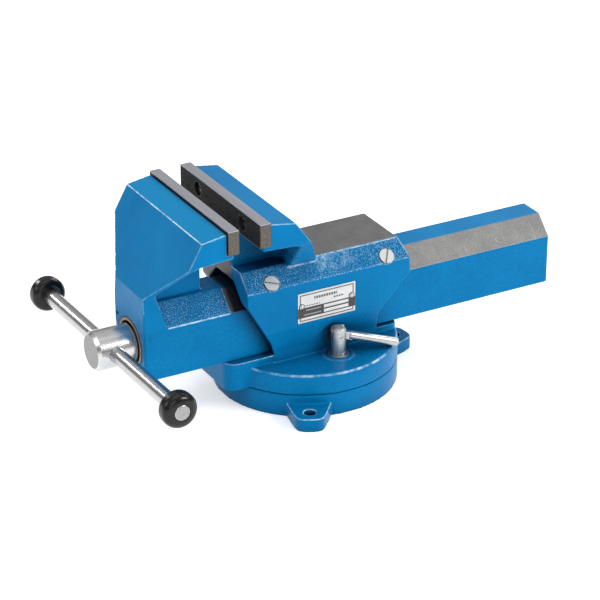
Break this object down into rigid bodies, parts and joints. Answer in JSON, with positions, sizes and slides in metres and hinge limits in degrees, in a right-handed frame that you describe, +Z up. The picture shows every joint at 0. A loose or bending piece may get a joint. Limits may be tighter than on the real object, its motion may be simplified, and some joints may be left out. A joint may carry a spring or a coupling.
{
  "type": "bench vise",
  "caption": "Swivel-base bench vise: a front jaw on a hollow slide bar, drawn in by a lead screw with a sliding tommy bar, above a lug-mounted round base with lever locks.",
  "frame": {"origin": "centre of the base's underside, on the swivel axis", "axes": "+Z up, -Y towards the handle, +X to the right of a person at the handle"},
  "size_m": [0.3403, 0.5436, 0.2348],
  "materials": {
    "blue_paint": "semi-gloss blue paint over rough cast iron; machined areas bare",
    "serrated_steel": "hardened dark steel, ground top",
    "zinc": "bright zinc plate",
    "turned_steel": "turned bright steel",
    "cast_iron": "machined grey iron",
    "dark_steel": "black oxide steel",
    "bronze": "dull bronze",
    "plate_metal": "printed aluminium",
    "black_plastic": "glossy black"
  },
  "bodies": {
    "base": {"base_plate": "blue_paint"},
    "swivel": {"fixed_jaw_body": "blue_paint", "fixed_jaw_plate": "serrated_steel", "fixed_plate_screws": "zinc", "spindle_nut": "cast_iron", "spindle_nut_bolts": "dark_steel", "gib_right": "cast_iron", "gib_left": "cast_iron", "gib_screws": "zinc", "name_plate": "plate_metal", "name_plate_rivets": "plate_metal", "lock_bolt_right": "dark_steel", "lock_bolt_left": "dark_steel", "lock_washers": "zinc"},
    "front_jaw": {"movable_jaw": "blue_paint", "movable_jaw_plate": "serrated_steel", "movable_plate_screws": "zinc", "front_ring": "bronze"},
    "screw": {"lead_screw": "turned_steel", "screw_collar": "dark_steel", "collar_pin": "dark_steel", "thrust_washer": "dark_steel"},
    "handle": {"tommy_bar": "turned_steel", "tommy_knob_right": "black_plastic", "tommy_knob_left": "black_plastic"},
    "lock_right": {"lock_nut_right": "zinc", "lock_pin_right": "zinc"},
    "lock_left": {"lock_nut_left": "zinc", "lock_pin_left": "zinc"},
    "lever_right": {"lock_lever_right": "zinc"},
    "lever_left": {"lock_lever_left": "zinc"}
  },
  "joints": [
    {"name": "swivel_turn", "type": "hinge", "parent": "base", "child": "swivel", "pos_m": [0, 0, 0.026], "axis": [0, 0, 1], "continuous": true},
    {"name": "jaw_slide", "type": "slide", "parent": "swivel", "child": "front_jaw", "axis": [0, -1, 0], "range_m": [-0.0234, 0.1601]},
    {"name": "screw_turn", "type": "hinge", "parent": "front_jaw", "child": "screw", "pos_m": [0, -0.2327, 0.089], "axis": [0, -1, 0], "range_deg": [-1677.6, 11520]},
    {"name": "bar_slide", "type": "slide", "parent": "screw", "child": "handle", "axis": [0.9996, 0, 0.0279], "range_m": [-0.1294, 0.1259]},
    {"name": "lock_turn_right", "type": "hinge", "parent": "swivel", "child": "lock_right", "pos_m": [0.06196, 0.00651, 0.066], "axis": [0, 0, 1], "range_deg": [-155, 0]},
    {"name": "lock_turn_left", "type": "hinge", "parent": "swivel", "child": "lock_left", "pos_m": [-0.06196, 0.00651, 0.066], "axis": [0, 0, 1], "range_deg": [-155, 0]},
    {"name": "lever_fold_right", "type": "hinge", "parent": "lock_right", "child": "lever_right", "pos_m": [0.06196, 0.00651, 0.0745], "axis": [0.9767, -0.2147, 0], "range_deg": [0, 106.5]},
    {"name": "lever_fold_left", "type": "hinge", "parent": "lock_left", "child": "lever_left", "pos_m": [-0.06196, 0.00651, 0.0745], "axis": [-0.9767, 0.2147, 0], "range_deg": [0, 106.5]}
  ],
  "couplings": [
    {"joint": "jaw_slide", "follows": "screw_turn", "m_per_rad": 0.00079577}
  ]
}
